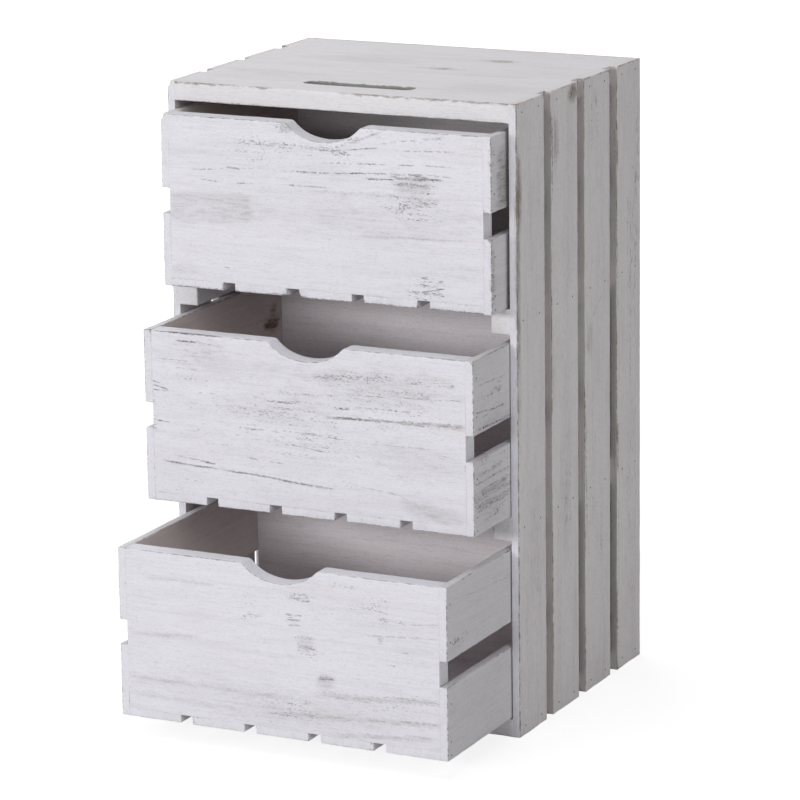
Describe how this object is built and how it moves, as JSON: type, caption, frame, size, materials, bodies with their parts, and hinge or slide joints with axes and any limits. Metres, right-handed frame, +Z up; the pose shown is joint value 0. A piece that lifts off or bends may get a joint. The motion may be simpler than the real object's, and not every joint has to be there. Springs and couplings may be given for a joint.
{
  "type": "wooden drawer chest",
  "caption": "Free-standing whitewashed wooden chest with slatted sides and sliding crate-style drawers with finger scoops, for craft supplies and small parts.",
  "frame": {"origin": "on the floor, under the middle of the cabinet's footprint", "axes": "+X to the chest's right as seen from the front, +Y to its back, +Z up"},
  "size_m": [0.36, 0.424, 0.6],
  "materials": {
    "whitewashed_boards": "thin matt white wash over planed softwood, worn on the edges",
    "drawer_wood": "thin matt white wash over sawn softwood, greyer inside",
    "runner_wood": "thin matt white wash, rubbed by the drawers",
    "back_panel": "thin plywood with a matt white wash",
    "nails": "dark headless nails, driven flush"
  },
  "bodies": {
    "cabinet": {"top_board": "whitewashed_boards", "bottom_board": "whitewashed_boards", "back_panel": "back_panel", "left_front_slat": "whitewashed_boards", "left_second_slat": "whitewashed_boards", "left_third_slat": "whitewashed_boards", "left_rear_slat": "whitewashed_boards", "right_front_slat": "whitewashed_boards", "right_second_slat": "whitewashed_boards", "right_third_slat": "whitewashed_boards", "right_rear_slat": "whitewashed_boards", "left_lower_runner": "runner_wood", "left_upper_runner": "runner_wood", "right_lower_runner": "runner_wood", "right_upper_runner": "runner_wood", "cabinet_nails": "nails"},
    "bottom_drawer": {"bottom_drawer_front": "whitewashed_boards", "bottom_drawer_back": "drawer_wood", "bottom_drawer_left_lower_side": "drawer_wood", "bottom_drawer_left_upper_side": "drawer_wood", "bottom_drawer_right_lower_side": "drawer_wood", "bottom_drawer_right_upper_side": "drawer_wood", "bottom_drawer_bottom_slat_1": "drawer_wood", "bottom_drawer_bottom_slat_2": "drawer_wood", "bottom_drawer_bottom_slat_3": "drawer_wood", "bottom_drawer_bottom_slat_4": "drawer_wood", "bottom_drawer_bottom_slat_5": "drawer_wood", "bottom_drawer_nails": "nails"},
    "middle_drawer": {"middle_drawer_front": "whitewashed_boards", "middle_drawer_back": "drawer_wood", "middle_drawer_left_lower_side": "drawer_wood", "middle_drawer_left_upper_side": "drawer_wood", "middle_drawer_right_lower_side": "drawer_wood", "middle_drawer_right_upper_side": "drawer_wood", "middle_drawer_bottom_slat_1": "drawer_wood", "middle_drawer_bottom_slat_2": "drawer_wood", "middle_drawer_bottom_slat_3": "drawer_wood", "middle_drawer_bottom_slat_4": "drawer_wood", "middle_drawer_bottom_slat_5": "drawer_wood", "middle_drawer_nails": "nails"},
    "top_drawer": {"top_drawer_front": "whitewashed_boards", "top_drawer_back": "drawer_wood", "top_drawer_left_lower_side": "drawer_wood", "top_drawer_left_upper_side": "drawer_wood", "top_drawer_right_lower_side": "drawer_wood", "top_drawer_right_upper_side": "drawer_wood", "top_drawer_bottom_slat_1": "drawer_wood", "top_drawer_bottom_slat_2": "drawer_wood", "top_drawer_bottom_slat_3": "drawer_wood", "top_drawer_bottom_slat_4": "drawer_wood", "top_drawer_bottom_slat_5": "drawer_wood", "top_drawer_nails": "nails"}
  },
  "joints": [
    {"name": "bottom_drawer_slide", "type": "slide", "parent": "cabinet", "child": "bottom_drawer", "axis": [0, -1, 0], "range_m": [-0.137, 0.063]},
    {"name": "middle_drawer_slide", "type": "slide", "parent": "cabinet", "child": "middle_drawer", "axis": [0, -1, 0], "range_m": [-0.078, 0.122]},
    {"name": "top_drawer_slide", "type": "slide", "parent": "cabinet", "child": "top_drawer", "axis": [0, -1, 0], "range_m": [-0.03, 0.17]}
  ]
}
